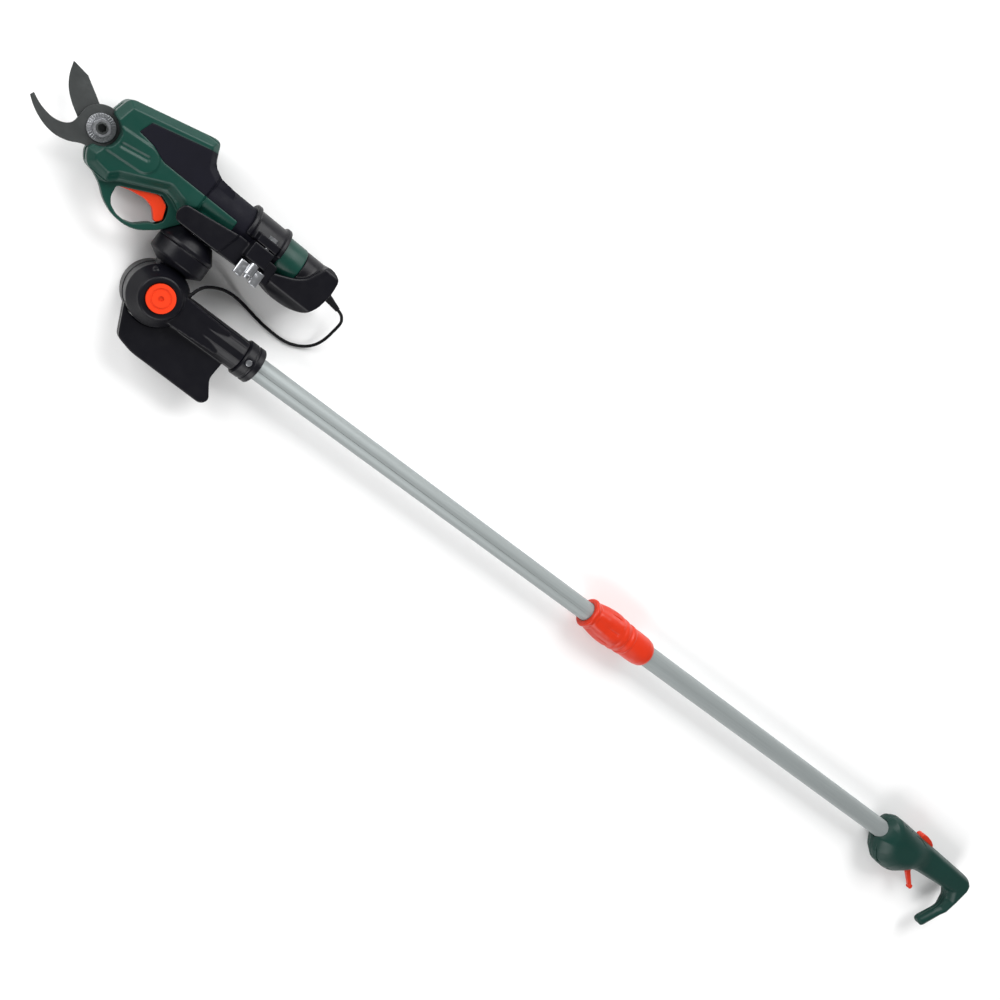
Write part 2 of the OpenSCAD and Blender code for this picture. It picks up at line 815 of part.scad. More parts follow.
module socket_screw() {
    color(silver) translate([socket_end + 6, 0, mid_z + 16.2]) screw(7, 3, 1.45, 2.2);
}

// ---- Pole ----
module upper_tube() {
    color(alloy)
        difference() {
            rod_x(upper_start, upper_end, upper_r);
            rod_x(0, big * 3, upper_bore);
            rod_z(0, big, 1.5, socket_end + 6, 0);
        }
}
module inner_bush() {
    color(black)
        difference() {
            union() {
                rod_x(upper_end - 14, upper_end, upper_bore - seat);
                rod_x(upper_end, upper_end + 8, lower_bore - run);
            }
            rod_x(0, big * 3, 8.2);
        }
}
module lock_nut() {
    color(orange)
        difference() {
            lathe_x([
                [upper_r + clear, 0], [15.4, 0], [17.2, 1.5], [17.2, 4], [16, 6.5], [17, 12],
                [18.8, 22], [19.8, 34], [19.8, 43], [19, 48], [19.4, 50], [19.4, 52.5], [18.4, lock_l],
                [lower_r + 3.4 + run, lock_l], [lower_r + 3.4 + run, 14], [upper_r + clear, 5]
            ], lock_x);
            for (a = [0:60:300])
                translate([lock_x + 22, 0, mid_z]) rotate([a, 0, 0])
                    translate([0, 0, 20.6]) rotate([0, 90, 0]) cylinder(r = 1.8, h = 20);
        }
}
module collet() {
    color(black)
        difference() {
            lathe_x([[upper_r + run, 9], [12.6, 9], [14.5, 22], [14.5, 40], [upper_r + run, 40]], lock_x);
            for (a = [0, 60, 120])
                translate([lock_x + 5, 0, mid_z]) rotate([a, 0, 0])
                    translate([0, -0.8, -30]) cube([26, 1.6, 60]);
        }
}
module lock_body() {
    color(orange)
        lathe_x([
            [lower_r + seat, 40.2], [lower_r + 3.4, 40.2], [lower_r + 3.4, lock_l + 0.4],
            [17.4, lock_l + 0.4], [17.4, 61], [18.4, 62], [18.4, 66], [17.6, 67.5], [17.9, 80], [17.5, 92],
            [16.3, 98.5], [14.6, 102], [lower_r + seat, 102]
        ], lock_x);
}
module lower_tube() {
    color(alloy)
        difference() {
            rod_x(lock_x + 40.2, tube_end, lower_r);
            rod_x(0, big * 4, lower_bore);
        }
}
module pole_cable() { color(black) rod_x(upper_start, 560, cable_d / 2); }
module coiled_cable() { color(black) rod_x(560, tube_end - 1, 7); }

// ---- Handle ----
module handle_solid() {
    intersection() {
        plate(soft(handle_outline, 7, 4), -handle_t / 2, handle_t / 2);
        hook_taper();
    }
    intersection() {
        plate(soft(dome_outline, 9, 4), -dome_t / 2, dome_t / 2);
        translate([1238, -7, mid_z]) scale([1.2, 1, 1]) sphere(r = 41, $fn = 64);
    }
}
// Thins the handle from the grip towards the open end of its hook, as [y, z] widths
module hook_taper() {
    translate([1100, 0, mid_z])
        rotate([90, 0, 90])
            linear_extrude(400)
                polygon([[-90, -7.5], [-50, -8.5], [-22, -14], [0, -handle_t / 2], [60, -handle_t / 2],
                    [60, handle_t / 2], [0, handle_t / 2], [-22, 14], [-50, 8.5], [-90, 7.5]]);
}
module handle_shell() {
    difference() {
        handle_solid();
        rod_x(0, tube_end, lower_r + seat);
        rod_x(tube_end - 1, tube_end + 10, 8);
        plate([[1279, -60], [1279, -6], [1322, -6], [1322, -34], [1300, -60]], -5.4, 5.4);
        plate([[1286, -6.1], [1286, 8.6], [1303.4, 8.6], [1303.4, -6.1]], -4, 4);
        plate([[1265.5, 12], [1265.5, 60], [1298.5, 60], [1298.5, 12]], -6.35, 6.35);
        rod_y(5, 13, 3.4, 1282);
        rod_z(-12, 12, 2, lever_at.x, lever_at.y);
        for (p = handle_screw_points)
            far_screw_room(p, -9, 3.3, 17);
    }
}
module handle_shell_near() { color(green) near_side() handle_shell(); }
module handle_shell_far() { color(green) far_side() handle_shell(); }
module remote_lever() {
    color(orange)
        difference() {
            union() {
                plate(soft(lever_plate, 2.4), -5, 5);
                plate(soft(lever_finger, 1.5), -2.2, 2.2);
                rod_z(-3.2, 3.2, 3.4, 1315.5, -41);
            }
            rod_z(-big, big, 2 + run, lever_at.x, lever_at.y);
        }
}
module lever_pin() { color(silver) rod_z(-11.5, 11.5, 2, lever_at.x, lever_at.y); }
module lever_switch() {
    color(black) {
        plate([[1286.4, -1], [1286.4, 8.2], [1303, 8.2], [1303, -1]], -3.6, 3.6);
        rod_y(-5.4, -1, 1.3, 1299);
    }
}
module lever_spring() {
    color(silver) translate([1314, -10.6, mid_z]) rotate([-90, 0, 0]) coil_spring(2.3, 0.35, 4.4, 3);
}
module safety_button() {
    color(orange)
        difference() {
            plate(soft(slider_outline, 2.5), -6, 6);
            for (x = [1273:4:1289])
                translate([x, 28.6, mid_z - 5]) cube([1.2, 3, 10]);
        }
}
module safety_spring() {
    color(silver) translate([1282, 5.2, mid_z]) rotate([-90, 0, 0]) coil_spring(2.6, 0.4, 14.6, 5);
}
module handle_screws() {
    color(steel)
        for (p = handle_screw_points)
            far_screw(p, -9, 18);
}

secateur_shell_near();
secateur_shell_far();
overmould_near();
overmould_far();
cutting_blade();
counter_blade();
pivot_bolt();
pivot_washer();
pivot_nut();
trigger();
trigger_pin();
trigger_spring();
trigger_switch();
gear_motor();
angle_gearbox();
drive_pinion();
battery_cells();
control_board();
secateur_screws();
tail_socket();
cradle();
strap();
strap_bolt();
wing_nut();
tail_cup();
remote_plug();
strain_relief();
connecting_cable();
cable_grommet();
turret_cap();
turret_bolt();
knuckle();
detent_ring();
head_shell_near();
head_shell_far();
hinge_pin();
release_button();
button_spring();
head_screws();
socket_ring();
socket_screw();
upper_tube();
inner_bush();
lock_nut();
collet();
lock_body();
lower_tube();
pole_cable();
coiled_cable();
handle_shell_near();
handle_shell_far();
remote_lever();
lever_pin();
lever_spring();
lever_switch();
safety_button();
safety_spring();
handle_screws();
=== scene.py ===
"""Looks of the telescopic pole secateur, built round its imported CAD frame."""

import json
import math

import bmesh
import bpy
import numpy as np
from mathutils import Matrix, Vector

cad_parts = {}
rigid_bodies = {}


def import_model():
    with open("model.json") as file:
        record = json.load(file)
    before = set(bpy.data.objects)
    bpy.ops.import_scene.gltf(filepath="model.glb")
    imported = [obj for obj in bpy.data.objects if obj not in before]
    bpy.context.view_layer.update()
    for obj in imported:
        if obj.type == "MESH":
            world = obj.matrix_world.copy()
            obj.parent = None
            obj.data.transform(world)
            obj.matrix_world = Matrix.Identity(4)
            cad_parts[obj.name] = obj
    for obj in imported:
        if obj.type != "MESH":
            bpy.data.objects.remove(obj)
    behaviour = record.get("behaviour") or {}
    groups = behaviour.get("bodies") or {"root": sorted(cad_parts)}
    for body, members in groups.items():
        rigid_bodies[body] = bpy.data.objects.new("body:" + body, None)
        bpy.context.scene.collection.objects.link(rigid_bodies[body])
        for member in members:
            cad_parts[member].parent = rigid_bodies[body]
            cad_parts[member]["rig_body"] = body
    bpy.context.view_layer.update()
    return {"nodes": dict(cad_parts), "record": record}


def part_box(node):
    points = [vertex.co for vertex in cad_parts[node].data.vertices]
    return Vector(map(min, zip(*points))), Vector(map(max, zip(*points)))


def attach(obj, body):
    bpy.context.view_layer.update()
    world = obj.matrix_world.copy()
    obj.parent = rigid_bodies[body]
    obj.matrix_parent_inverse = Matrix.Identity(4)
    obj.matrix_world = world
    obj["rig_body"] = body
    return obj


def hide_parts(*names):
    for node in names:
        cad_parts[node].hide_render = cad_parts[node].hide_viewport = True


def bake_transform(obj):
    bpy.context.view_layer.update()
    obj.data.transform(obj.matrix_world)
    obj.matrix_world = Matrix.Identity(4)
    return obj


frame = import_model()
NODES = frame["nodes"]
MM = 0.001


def centre(node):
    low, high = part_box(node)
    return (low + high) / 2


MID = centre("lower_tube").z                      # height of the middle plane


# ---------------------------------------------------------------- camera

def make_camera():
    """The photograph's viewing angle: 30 degrees off the middle plane, from beyond the head."""
    data = bpy.data.cameras.new("camera")
    data.lens = 45.0
    data.sensor_width = 36.0
    data.clip_start, data.clip_end = 0.01, 50.0
    camera = bpy.data.objects.new("camera", data)
    right = Vector((0.6877, 0.6078, 0.3971))
    up = Vector((-0.5264, 0.7941, -0.3039))
    back = right.cross(up)
    turn = Matrix((right, up, back)).transposed().to_4x4()
    camera.matrix_world = Matrix.Translation((-0.247, 0.040, 1.158)) @ turn
    bpy.context.scene.collection.objects.link(camera)
    bpy.context.scene.camera = camera


make_camera()


# ---------------------------------------------------------------- materials

NOISE_LOW, NOISE_HIGH = 0.3, 0.7                  # span that most of a noise texture fills


def shader(name, color, rough, metal=0.0, spec=0.5):
    """A Principled material and the parts of it that the textures below hook on to."""
    m = bpy.data.materials.new(name)
    m.use_nodes = True
    m.diffuse_color = (*color, 1.0)
    b = m.node_tree.nodes["Principled BSDF"]
    b.inputs["Base Color"].default_value = (*color, 1.0)
    b.inputs["Roughness"].default_value = rough
    b.inputs["Metallic"].default_value = metal
    b.inputs["Specular IOR Level"].default_value = spec
    return m, m.node_tree, b


def coords(tree, stretch=(1.0, 1.0, 1.0)):
    c = tree.nodes.new("ShaderNodeTexCoord")
    s = tree.nodes.new("ShaderNodeMapping")
    s.inputs["Scale"].default_value = stretch
    tree.links.new(c.outputs["Object"], s.inputs["Vector"])
    return s.outputs["Vector"]


def noise(tree, vector, scale, detail=4.0, rough=0.55):
    n = tree.nodes.new("ShaderNodeTexNoise")
    n.inputs["Scale"].default_value = scale
    n.inputs["Detail"].default_value = detail
    n.inputs["Roughness"].default_value = rough
    tree.links.new(vector, n.inputs["Vector"])
    return n.outputs["Fac"]


def between(tree, value, low, high):
    """A number that wanders between low and high."""
    r = tree.nodes.new("ShaderNodeMapRange")
    r.inputs["From Min"].default_value = NOISE_LOW
    r.inputs["From Max"].default_value = NOISE_HIGH
    r.inputs["To Min"].default_value = low
    r.inputs["To Max"].default_value = high
    tree.links.new(value, r.inputs["Value"])
    return r.outputs["Result"]


def tint(tree, bsdf, value, dark, light):
    """Colour that wanders between dark and light."""
    r = tree.nodes.new("ShaderNodeValToRGB")
    ends = zip(r.color_ramp.elements, (NOISE_LOW, NOISE_HIGH), (dark, light))
    for element, position, color in ends:
        element.position = position
        element.color = (*color, 1.0)
    tree.links.new(value, r.inputs["Fac"])
    tree.links.new(r.outputs["Color"], bsdf.inputs["Base Color"])


def bump(tree, bsdf, heights, strength, distance):
    """Chains one Bump node for each height."""
    normal = None
    for height, part in zip(heights, strength):
        b = tree.nodes.new("ShaderNodeBump")
        b.inputs["Strength"].default_value = part
        b.inputs["Distance"].default_value = distance
        tree.links.new(height, b.inputs["Height"])
        if normal is not None:
            tree.links.new(normal, b.inputs["Normal"])
        normal = b.outputs["Normal"]
    tree.links.new(normal, bsdf.inputs["Normal"])


def scaled(color, k):
    return tuple(min(1.0, c * k) for c in color)


def plastic(name, color, rough=0.42, grain=900.0, depth=0.12, spec=0.3):
    """Moulded plastic: spark-eroded grain, faint handling marks and slight colour drift."""
    m, t, b = shader(name, color, rough, spec=spec)
    v = coords(t)
    tint(t, b, noise(t, v, 18.0, 3.0), scaled(color, 0.9), scaled(color, 1.1))
    marks = noise(t, v, 60.0, 6.0, 0.7)
    t.links.new(between(t, marks, rough - 0.06, rough + 0.1), b.inputs["Roughness"])
    bump(t, b, [noise(t, v, grain, 3.0), noise(t, v, 90.0, 2.0)], [depth, depth * 0.4], 0.0003)
    return m


def rubber(name, color):
    m, t, b = shader(name, color, 0.62, spec=0.12)
    v = coords(t)
    tint(t, b, noise(t, v, 25.0), scaled(color, 0.85), scaled(color, 1.2))
    t.links.new(between(t, noise(t, v, 70.0), 0.55, 0.72), b.inputs["Roughness"])
    bump(t, b, [noise(t, v, 1400.0, 2.0)], [0.2], 0.0002)
    return m


def drawn_alloy(name, color):
    """Satin anodised tube: long draw lines along X, fine roughness streaks."""
    m, t, b = shader(name, color, 0.5, metal=0.35, spec=0.3)
    v = coords(t, (2.0, 260.0, 260.0))
    lines = noise(t, v, 6.0, 6.0, 0.6)
    tint(t, b, lines, scaled(color, 0.9), scaled(color, 1.06))
    t.links.new(between(t, lines, 0.42, 0.54), b.inputs["Roughness"])
    fine = noise(t, coords(t), 2200.0, 2.0)
    bump(t, b, [lines, fine], [0.06, 0.08], 0.0002)
    return m


def ground_steel(name, color, rough=0.4):
    """Blade steel: grinding lines across the plate and a dull coating."""
    m, t, b = shader(name, color, rough, metal=0.9)
    v = coords(t, (30.0, 400.0, 30.0))
    lines = noise(t, v, 5.0, 5.0, 0.65)
    tint(t, b, noise(t, coords(t), 45.0), scaled(color, 0.8), scaled(color, 1.15))
    t.links.new(between(t, lines, rough - 0.08, rough + 0.12), b.inputs["Roughness"])
    bump(t, b, [lines, noise(t, coords(t), 700.0)], [0.1, 0.08], 0.0002)
    return m


def plated(name, color, rough=0.26):
    """Zinc plate: bright, with small cloudy patches."""
    m, t, b = shader(name, color, rough, metal=1.0)
    v = coords(t)
    tint(t, b, noise(t, v, 120.0, 3.0), scaled(color, 0.9), scaled(color, 1.05))
    t.links.new(between(t, noise(t, v, 320.0), rough - 0.04, rough + 0.08), b.inputs["Roughness"])
    bump(t, b, [noise(t, v, 1600.0)], [0.03], 0.0001)
    return m


MATERIALS = {
    "green_plastic": plastic("green_plastic", (0.003, 0.037, 0.027), 0.36, spec=0.26),
    "handle_plastic": plastic("handle_plastic", (0.003, 0.027, 0.021), 0.40, spec=0.24),
    "black_plastic": plastic("black_plastic", (0.003, 0.003, 0.005), 0.34, 800.0, 0.16, 0.2),
    "black_rubber": rubber("black_rubber", (0.004, 0.004, 0.008)),
    "cable_rubber": rubber("cable_rubber", (0.004, 0.004, 0.005)),
    "orange_plastic": plastic("orange_plastic", (0.66, 0.036, 0.005), 0.36, 1000.0, 0.06),
    "red_plastic": plastic("red_plastic", (0.50, 0.024, 0.005), 0.34, 1000.0, 0.06),
    "blade_steel": ground_steel("blade_steel", (0.075, 0.08, 0.08), 0.44),
    "bright_steel": plated("bright_steel", (0.40, 0.41, 0.43), 0.32),
    "pole_alloy": drawn_alloy("pole_alloy", (0.27, 0.295, 0.295)),
    "spring_steel": plated("spring_steel", (0.45, 0.45, 0.46), 0.3),
    "motor_steel": ground_steel("motor_steel", (0.4, 0.4, 0.42), 0.35),
    "board_green": plastic("board_green", (0.02, 0.2, 0.06), 0.3),
    "cell_wrap": plastic("cell_wrap", (0.03, 0.10, 0.35), 0.3),
    "nylon": plastic("nylon", (0.03, 0.03, 0.032), 0.5),
}
NODE_SLOT = {s["node"]: s["material_slot"] for s in frame["record"]["subparts"]}


def paint(obj, slot):
    obj.data.materials.clear()
    obj.data.materials.append(MATERIALS[slot])


# ---------------------------------------------------------------- mesh helpers

def shade_smooth(obj):
    obj.data.polygons.foreach_set("use_smooth", [True] * len(obj.data.polygons))


def new_object(name, mesh):
    obj = bpy.data.objects.new(name, mesh)
    bpy.context.scene.collection.objects.link(obj)
    return obj


def settle(obj, slot, node):
    """Gives a piece its finish, and the body of the CAD node that it stands for."""
    paint(obj, slot)
    shade_smooth(obj)
    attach(obj, NODES[node]["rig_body"])
    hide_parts(node)


def baked(obj):
    """Applies the modifiers to a fresh mesh."""
    bpy.context.view_layer.update()
    mesh = bpy.data.meshes.new_from_object(obj.evaluated_get(bpy.context.evaluated_depsgraph_get()))
    obj.modifiers.clear()
    old = obj.data
    obj.data = mesh
    bpy.data.meshes.remove(old)


def points_of(mesh):
    co = np.zeros(len(mesh.vertices) * 3)
    mesh.vertices.foreach_get("co", co)
    return co.reshape(-1, 3)


def remeshed(obj, voxel):
    mod = obj.modifiers.new("voxels", "REMESH")
    mod.mode = "VOXEL"
    mod.voxel_size = voxel
    baked(obj)


def smoothed(obj, times):
    mod = obj.modifiers.new("smooth", "SMOOTH")
    mod.iterations = times
    baked(obj)


def thinned(obj, ratio):
    mod = obj.modifiers.new("thin", "DECIMATE")
    mod.ratio = ratio
    baked(obj)


def joined_solids(name, node, extra=()):
    """A CAD node's own solid, with any extra solids beside it in the same mesh."""
    bm = bmesh.new()
    bm.from_mesh(NODES[node].data)
    bmesh.ops.remove_doubles(bm, verts=bm.verts, dist=0.005 * MM)
    for mesh in extra:
        bm.from_mesh(mesh)
        bpy.data.meshes.remove(mesh)
    mesh = bpy.data.meshes.new(name)
    bm.to_mesh(mesh)
    bm.free()
    return new_object(name, mesh)


def moulded(name, node, voxel, smooth, keep, shape=None, extra=()):
    """Moulded piece made from a CAD node's solid: rounded edges, and shape() for its crown and relief.

    voxel is in millimetres, smooth is the number of passes, keep the share of triangles that stays.
    """
    obj = joined_solids(name, node, extra)
    remeshed(obj, voxel * MM)
    if shape:
        co = shape(points_of(obj.data))
        obj.data.vertices.foreach_set("co", co.ravel())
    smoothed(obj, smooth)
    thinned(obj, keep)
    settle(obj, NODE_SLOT[node], node)


def grid_mesh(name, rings):
    """A closed skin over rings of points, each ring closed on itself."""
    count, sides = len(rings), len(rings[0])
    verts = [tuple(p) for ring in rings for p in ring]
    faces = []
    for i in range(count - 1):
        for j in range(sides):
            k = (j + 1) % sides
            faces.append((i * sides + j, i * sides + k, (i + 1) * sides + k, (i + 1) * sides + j))
    faces.append(tuple(range(sides))[::-1])
    faces.append(tuple((count - 1) * sides + j for j in range(sides)))
    mesh = bpy.data.meshes.new(name)
    mesh.from_pydata(verts, [], faces)
    bm = bmesh.new()
    bm.from_mesh(mesh)
    bmesh.ops.recalc_face_normals(bm, faces=bm.faces)
    bm.to_mesh(mesh)
    bm.free()
    return mesh


def catmull(points, per):
    """Catmull-Rom curve through the points, with per steps from one to the next."""
    p = [np.array(q, float) for q in points]
    out = []
    for i in range(len(p) - 1):
        a, b, c, d = p[max(i - 1, 0)], p[i], p[i + 1], p[min(i + 2, len(p) - 1)]
        for j in range(per):
            t = j / per
            out.append(0.5 * (2 * b + (c - a) * t + (2 * a - 5 * b + 4 * c - d) * t * t
                              + (3 * b - a - 3 * c + d) * t ** 3))
    out.append(p[-1])
    return out


def tube(name, path, radius, sides=16):
    """Round bar along a path that never runs straight up."""
    turns = [2 * math.pi * j / sides for j in range(sides)]
    rings = []
    for i, p in enumerate(path):
        d = path[min(i + 1, len(path) - 1)] - path[max(i - 1, 0)]
        d = d / np.linalg.norm(d)
        s = np.cross((0, 0, 1), d)
        s = s / np.linalg.norm(s)
        u = np.cross(d, s)
        rings.append([p + radius * (math.cos(a) * s + math.sin(a) * u) for a in turns])
    return grid_mesh(name, rings)


# ---------------------------------------------------------------- connecting cable

CABLE_D = 0.003
CABLE_ROUTE = [                                   # metres, from the head to the strain relief
    (0.0209, 0.0168, 0.04), (0.0222, 0.0197, 0.04), (0.0234, 0.0232, 0.0392),
    (0.0258, 0.0272, 0.0364), (0.0295, 0.0308, 0.032), (0.0345, 0.0338, 0.027),
    (0.0405, 0.0365, 0.0215), (0.0475, 0.0388, 0.016), (0.055, 0.04, 0.011),
    (0.0625, 0.0403, 0.007), (0.0705, 0.0398, 0.004), (0.079, 0.0386, 0.0023),
    (0.09, 0.0368, 0.0016), (0.101, 0.0354, 0.0016), (0.112, 0.0348, 0.0016),
    (0.122, 0.0349, 0.0016), (0.131, 0.0363, 0.0016), (0.1395, 0.0396, 0.0019),
    (0.1465, 0.0444, 0.0032), (0.1512, 0.0505, 0.0061), (0.1534, 0.0575, 0.01),
    (0.1539, 0.0647, 0.0142), (0.1535, 0.0716, 0.0182), (0.15291, 0.0785, 0.02226),
    (0.15146, 0.08296, 0.02471), (0.14797, 0.08657, 0.0264), (0.1441, 0.0884, 0.027),
    (0.141183, 0.089029, 0.027),
]


def connecting_cable():
    path = catmull(CABLE_ROUTE, 8)
    obj = new_object("cable", tube("cable", path, CABLE_D / 2))
    paint(obj, "cable_rubber")
    shade_smooth(obj)
    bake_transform(obj)
    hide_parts("connecting_cable")


connecting_cable()


# ---------------------------------------------------------------- secateur

def segment_distance(xy, a, b):
    """Distance in metres to the straight line between two points in millimetres."""
    a, b = np.array(a) * MM, np.array(b) * MM
    d = b - a
    t = np.clip(((xy - a) @ d) / (d @ d), 0, 1)
    return np.linalg.norm(xy - (a + t[:, None] * d), axis=1)


def edge_distance(xy, line):
    """Distance to an open line of points."""
    return np.min([segment_distance(xy, a, b) for a, b in zip(line, line[1:])], axis=0)


def inside_distance(xy, outline):
    """Distance to a closed outline for points inside it, and 0 outside."""
    inside = np.zeros(len(xy), bool)
    for a, b in zip(outline, outline[1:] + outline[:1]):
        a, b = np.array(a) * MM, np.array(b) * MM
        crosses = (a[1] > xy[:, 1]) != (b[1] > xy[:, 1])
        with np.errstate(divide="ignore", invalid="ignore"):
            x = a[0] + (xy[:, 1] - a[1]) * (b[0] - a[0]) / (b[1] - a[1])
        inside ^= crosses & (xy[:, 0] < x)
    return np.where(inside, edge_distance(xy, outline + outline[:1]), 0.0)


def pressed(co, keep, surface, target):
    """Moves the sides beyond keep so that surface comes to target, all measured from MID."""
    dz = co[:, 2] - MID
    surface = np.maximum(surface, np.abs(dz))
    scale = (np.maximum(target, keep) - keep) / (surface - keep)
    beyond = np.clip(np.abs(dz) - keep, 0, None)
    co[:, 2] = MID + np.sign(dz) * (np.minimum(np.abs(dz), keep) + beyond * scale)
    return co


def step(x):
    """Soft step from 0 at x = 0 to 1 at x = 1."""
    x = np.clip(x, 0, 1)
    return x * x * (3 - 2 * x)


# Edges of the secateur's side, in millimetres.
TOP_EDGE = [(-17, 114), (-28.5, 120), (-33, 130), (-37, 139.4), (-76, 129), (-115, 118.6), (-119, 100)]
NOSE_EDGE = [(-116, 71), (-119, 64), (-112, 53)]
GUARD_EDGE = [(-17, 74.5), (-29, 68), (-36, 73), (-48, 76), (-84, 58.5), (-92, 50), (-112, 53)]
BOSS_LINE = ((-106, 84), (-78, 86.3))
GROOVE_LINE = ((-99, 83.5), (-77, 87.5))

BODY_HALF = 23 * MM                               # half thickness of the secateur body
BODY_CORE = 7 * MM                                # nearer the middle plane than this nothing moves
SIDE_FACE = 20 * MM                               # farther out than this is the side face
SIDE_DROP = 1.3 * MM                              # side face below the CAD's, for the boss to stand on
RIM_HALF = 15.5 * MM                              # half thickness at the chamfered rim
CHAMFER_RISE, CHAMFER_WIDTH = 7.5 * MM, 7 * MM
GUARD_HALF = 15 * MM                              # half thickness along the guard
COVE_RISE, COVE_WIDTH = 8 * MM, 9 * MM
FADE_FROM, FADE_WIDTH = -24 * MM, 20 * MM         # x where the relief dies out towards the battery
BOSS_RADIUS, BOSS_HEIGHT, BOSS_FLANK = 12.2 * MM, 1.4 * MM, 1.3 * MM
GROOVE_RADIUS, GROOVE_DEPTH, GROOVE_FLANK = 2.9 * MM, 1.2 * MM, 1.8 * MM


def secateur_relief(co):
    """Chamfered rim, sides that run down to the guard, and the long boss behind the pivot."""
    xy = co[:, :2]
    dz = co[:, 2] - MID
    side_face = np.abs(dz) > SIDE_FACE
    lift = BOSS_HEIGHT * step((BOSS_RADIUS - segment_distance(xy, *BOSS_LINE)) / BOSS_FLANK)
    lift -= GROOVE_DEPTH * step((GROOVE_RADIUS - segment_distance(xy, *GROOVE_LINE)) / GROOVE_FLANK)
    rim = np.minimum(edge_distance(xy, TOP_EDGE), edge_distance(xy, NOSE_EDGE))
    chamfer = RIM_HALF + CHAMFER_RISE * np.clip(rim / CHAMFER_WIDTH, 0, 1)
    cove = GUARD_HALF + COVE_RISE * step(edge_distance(xy, GUARD_EDGE) / COVE_WIDTH)
    target = np.minimum(chamfer, cove)
    target += (BODY_HALF - target) * step((xy[:, 0] - FADE_FROM) / FADE_WIDTH)
    co = pressed(co, BODY_CORE, BODY_HALF, target)
    co[:, 2] += np.where(side_face, np.sign(dz) * (lift - SIDE_DROP), 0.0)
    return co


def secateur():
    for side in ("near", "far"):
        moulded("secateur_body_" + side, "secateur_shell_" + side, 0.75, 3, 0.3, secateur_relief)
        moulded("soft_inlay_" + side, "overmould_" + side, 0.6, 2, 0.5, secateur_relief)
    moulded("trigger_lever", "trigger", 0.45, 14, 0.5)


# ---------------------------------------------------------------- cradle and turret

def cradle():
    moulded("cradle_trough", "cradle", 0.8, 5, 0.4)
    moulded("strap_band", "strap", 0.7, 4, 0.5)
    moulded("tail_cup_shell", "tail_cup", 0.8, 8, 0.4)
    moulded("turret_upper", "turret_cap", 0.6, 4, 0.4)
    moulded("turret_lower", "knuckle", 0.7, 4, 0.4)
    wing_nut()


def blob(middle, radii, turn):
    """Ellipsoid, its middle and radii in millimetres, turned about Z."""
    bm = bmesh.new()
    bmesh.ops.create_uvsphere(bm, u_segments=24, v_segments=16, radius=1.0)
    place = Matrix.Translation(Vector(middle) * MM) @ Matrix.Rotation(turn, 4, "Z")
    size = Matrix.Diagonal((*[r * MM for r in radii], 1.0))
    bmesh.ops.transform(bm, matrix=place @ size, verts=bm.verts)
    mesh = bpy.data.meshes.new("blob")
    bm.to_mesh(mesh)
    bm.free()
    return mesh


PETAL_RADII = (4.5, 6.8, 2.3)                     # millimetres
PETAL_OUT, PETAL_UP = 7.6, 6.6                    # petal's middle from the bolt and from the nut's base
PETAL_SPLAY = math.radians(12)


def wing_nut():
    """Cast nut: the CAD hub with two splayed petals grown over its wings."""
    bolt = centre("strap_bolt") / MM
    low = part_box("wing_nut")[0].y / MM
    petals = [blob((bolt.x + side * PETAL_OUT, low + PETAL_UP, bolt.z), PETAL_RADII, side * PETAL_SPLAY)
              for side in (-1, 1)]
    moulded("wing_nut_cast", "wing_nut", 0.35, 8, 0.5, extra=petals)


# ---------------------------------------------------------------- head

def head():
    for side in ("near", "far"):
        moulded("head_casing_" + side, "head_shell_" + side, 0.7, 6, 0.35)


# ---------------------------------------------------------------- pole lock

LOBES = 6
LOBE_SHARE, LOBE_SINK = 0.045, 0.6                # lobe height as a share of the radius, and its offset
LOBE_RUN, LOBE_FADE = 48, 8                       # millimetres along the nut
LOBE_SKIN, SKIN_FADE = 16.2, 0.6                  # radius in millimetres beyond which the skin moves


def lock_lobes(co):
    """Soft lobes round the front of the twist nut."""
    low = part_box("lock_nut")[0].x
    y, z = co[:, 1], co[:, 2] - MID
    radius = np.hypot(y, z)
    along = (co[:, 0] - low) / MM
    share = step(along / LOBE_FADE) * step((LOBE_RUN - along) / LOBE_FADE)
    share *= step((radius / MM - LOBE_SKIN) / SKIN_FADE)
    grow = 1 + LOBE_SHARE * share * (np.cos(LOBES * np.arctan2(z, y)) - LOBE_SINK)
    co[:, 1] = y * grow
    co[:, 2] = MID + z * grow
    return co


def pole_lock():
    moulded("lock_grip", "lock_nut", 0.5, 6, 0.5, lock_lobes)
    moulded("lock_collar", "lock_body", 0.5, 3, 0.5)


# ---------------------------------------------------------------- handle

# Outlines of the handle's side, in millimetres.
HANDLE_OUTLINE = [
    (1190, -12), (1191.5, 12), (1197, 22.5), (1209, 27.2), (1399, 17.5), (1408, 12), (1411, 2),
    (1410, -42), (1385, -79), (1372, -75), (1371, -70), (1394, -39), (1393.5, -25), (1384, -14.5),
    (1305, -17.5), (1288, -20), (1273, -31), (1258, -39), (1240, -41.2), (1216, -39), (1202, -30)]
DOME_OUTLINE = [
    (1190, -10), (1192, 10), (1198, 19), (1212, 23.5), (1262, 21), (1284, 10), (1292, -6),
    (1284, -20), (1270, -31), (1252, -38), (1218, -37), (1203, -27)]
DOME_AT = np.array((1238, -7)) * MM               # middle of the round front
HOOK_WIDTHS = ((-90, -50, -22, 0, 60), (7.5, 8.5, 14, 17, 17))      # half thickness at each y

BALL_RADIUS, BALL_STRETCH = 41 * MM, 1.2          # the CAD's dome, longer along the pole
DOME_HALF = 27 * MM                               # half thickness of the dome
HANDLE_CORE = 4 * MM                              # nearer the middle plane than this nothing moves
EGG_RADII = np.array((62, 44)) * MM               # where the front swells out of the grip
EGG_REACH, EGG_SLOPE = 1.35, 1.3
RIM_GRIP, RIM_EGG = 9, 15                         # millimetres of rounded rim, and what the egg adds
EGG_HEIGHT = 10 * MM


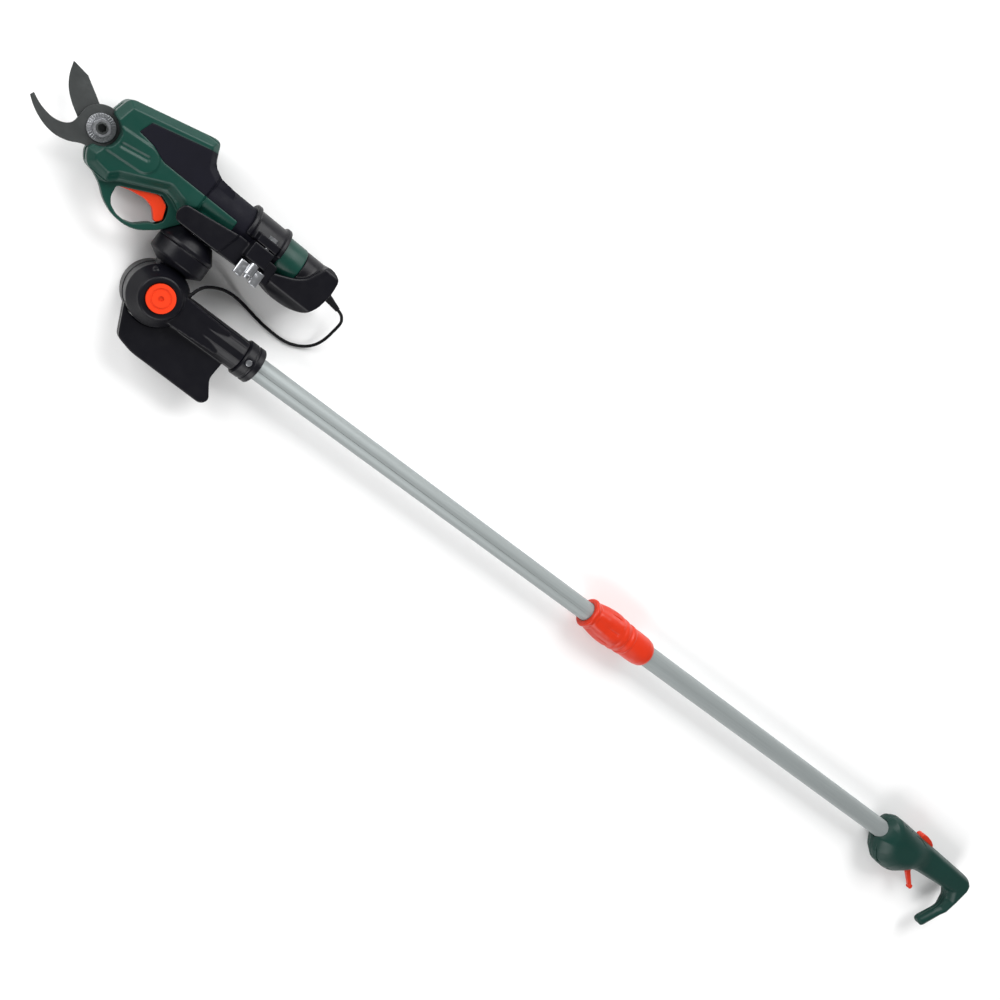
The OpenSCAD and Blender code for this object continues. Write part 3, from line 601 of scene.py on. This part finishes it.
def handle_crown(co):
    """One smooth egg from the round front into the grip, and a rounded hook."""
    xy = co[:, :2]
    grip = np.interp(xy[:, 1] / MM, *HOOK_WIDTHS) * MM
    off_x, off_y = (xy - DOME_AT).T
    ball = np.sqrt(np.clip(BALL_RADIUS ** 2 - (off_x / BALL_STRETCH) ** 2 - off_y ** 2, 0, None))
    in_dome = inside_distance(xy, DOME_OUTLINE) > 0
    surface = np.where(in_dome, np.maximum(grip, np.minimum(ball, DOME_HALF)), grip)
    swell = step(EGG_REACH - np.linalg.norm((xy - DOME_AT) / EGG_RADII, axis=1) * EGG_SLOPE)
    rim = (RIM_GRIP + RIM_EGG * swell) * MM
    d = np.clip(inside_distance(xy, HANDLE_OUTLINE) / rim, 0, 1)
    target = (grip + EGG_HEIGHT * swell) * np.sqrt(1 - (1 - d) ** 2)
    return pressed(co, HANDLE_CORE, surface, np.minimum(target, DOME_HALF))


def handle():
    for side in ("near", "far"):
        moulded("handle_half_" + side, "handle_shell_" + side, 0.8, 8, 0.35, handle_crown)
    moulded("lever_tab", "remote_lever", 0.4, 8, 0.5)
    moulded("safety_slider", "safety_button", 0.4, 5, 0.5)


# ---------------------------------------------------------------- carried-over CAD nodes

WELD_GAP = 0.004 * MM
EDGE_ROUND = 0.2 * MM
SHARP_ANGLE = math.radians(35)


def finish_cad_nodes():
    """CAD nodes that stay get their finish, smooth shading and a small edge round."""
    for name, obj in NODES.items():
        if obj.hide_render:
            continue
        paint(obj, NODE_SLOT[name])
        shade_smooth(obj)
        weld = obj.modifiers.new("weld", "WELD")
        weld.merge_threshold = WELD_GAP
        edge = obj.modifiers.new("edge", "BEVEL")
        edge.width = EDGE_ROUND
        edge.segments = 2
        edge.limit_method = "ANGLE"
        edge.angle_limit = SHARP_ANGLE
        edge.harden_normals = True
        level = obj.modifiers.new("level", "WEIGHTED_NORMAL")
        level.keep_sharp = True


secateur()
cradle()
head()
pole_lock()
handle()
finish_cad_nodes()


# ---------------------------------------------------------------- stage and light

def stage():
    bpy.ops.mesh.primitive_plane_add(size=12, location=(0.6, 0, -0.0004))
    floor = bpy.context.object
    floor.name = "floor"
    floor.data.materials.append(shader("floor", (0.86, 0.86, 0.86), 0.9, spec=0.1)[0])


def softbox(name, place, target, size, power):
    """Square lamp, size in metres and power in watts."""
    data = bpy.data.lights.new(name, "AREA")
    data.shape = "SQUARE"
    data.size = size
    data.energy = power
    lamp = bpy.data.objects.new(name, data)
    lamp.location = place
    lamp.rotation_euler = (Vector(target) - Vector(place)).to_track_quat("-Z", "Y").to_euler()
    bpy.context.scene.collection.objects.link(lamp)


def light():
    world = bpy.data.worlds.new("studio")
    world.use_nodes = True
    sky = world.node_tree.nodes["Background"]
    sky.inputs["Color"].default_value = (1.0, 1.0, 1.0, 1.0)
    sky.inputs["Strength"].default_value = 0.26
    bpy.context.scene.world = world
    softbox("key", (0.2, 2.5, 1.9), (0.5, 0, 0), 2.4, 120)
    softbox("side", (-2.3, 0.7, 1.4), (0.1, 0, 0), 1.6, 55)
    softbox("fill", (1.0, -2.5, 1.9), (0.6, 0, 0), 2.4, 85)
    bpy.context.scene.view_settings.view_transform = "Standard"


stage()
light()
